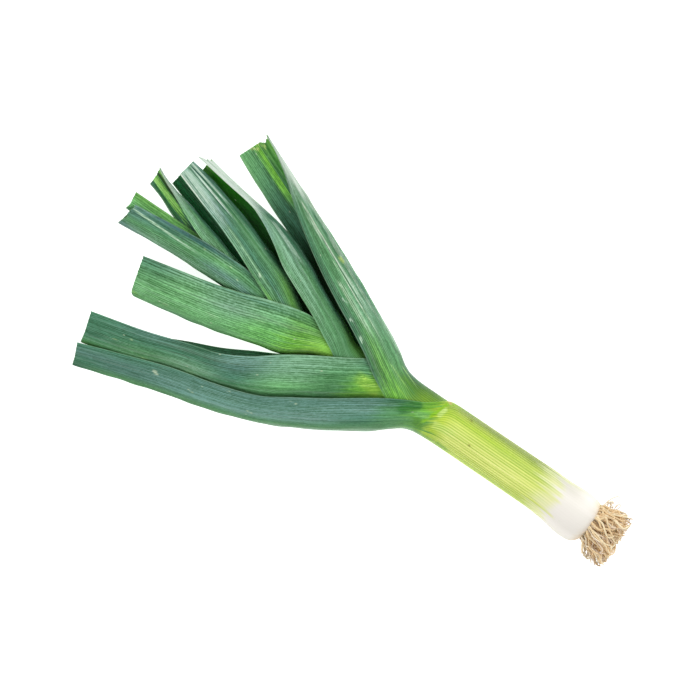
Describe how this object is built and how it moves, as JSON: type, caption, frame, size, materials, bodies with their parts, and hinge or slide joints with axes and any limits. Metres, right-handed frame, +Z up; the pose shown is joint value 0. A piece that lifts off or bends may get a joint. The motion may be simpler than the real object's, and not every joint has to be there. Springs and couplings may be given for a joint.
{
  "type": "leek",
  "caption": "Whole trimmed leek lying on its side: white and pale green shank of nested sheaths, root tuft, and a fan of folded, cut green leaves.",
  "frame": {"origin": "bottom centre of the leek's box, on the surface it rests on", "axes": "+X along the shank towards the roots, +Y across the fan of leaves, +Z up"},
  "size_m": [0.4186, 0.21, 0.0372],
  "materials": {
    "leaf_outer": "waxy skin, white at the bulb, pale green along the shank and blue-green on the blade",
    "leaf_inner": "waxy ribbed leaf, yellow-green at its base and green to the cut end",
    "root_plate": "matte, fibrous and cream to tan",
    "root": "matte dry root skin"
  },
  "bodies": {
    "root": {"leaf_left_1": "leaf_outer", "leaf_right_1": "leaf_outer", "leaf_left_2": "leaf_inner", "leaf_left_3": "leaf_inner", "leaf_left_4": "leaf_inner", "leaf_left_5": "leaf_inner", "leaf_right_2": "leaf_inner", "leaf_right_3": "leaf_inner", "leaf_right_4": "leaf_inner", "root_plate": "root_plate", "root_01": "root", "root_02": "root", "root_03": "root", "root_04": "root", "root_05": "root", "root_06": "root", "root_07": "root", "root_08": "root", "root_09": "root", "root_10": "root", "root_11": "root", "root_12": "root", "root_13": "root", "root_14": "root", "root_15": "root", "root_16": "root", "root_17": "root", "root_18": "root", "root_19": "root", "root_20": "root", "root_21": "root", "root_22": "root", "root_23": "root", "root_24": "root", "root_25": "root", "root_26": "root", "root_27": "root", "root_28": "root", "root_29": "root", "root_30": "root"}
  },
  "joints": []
}
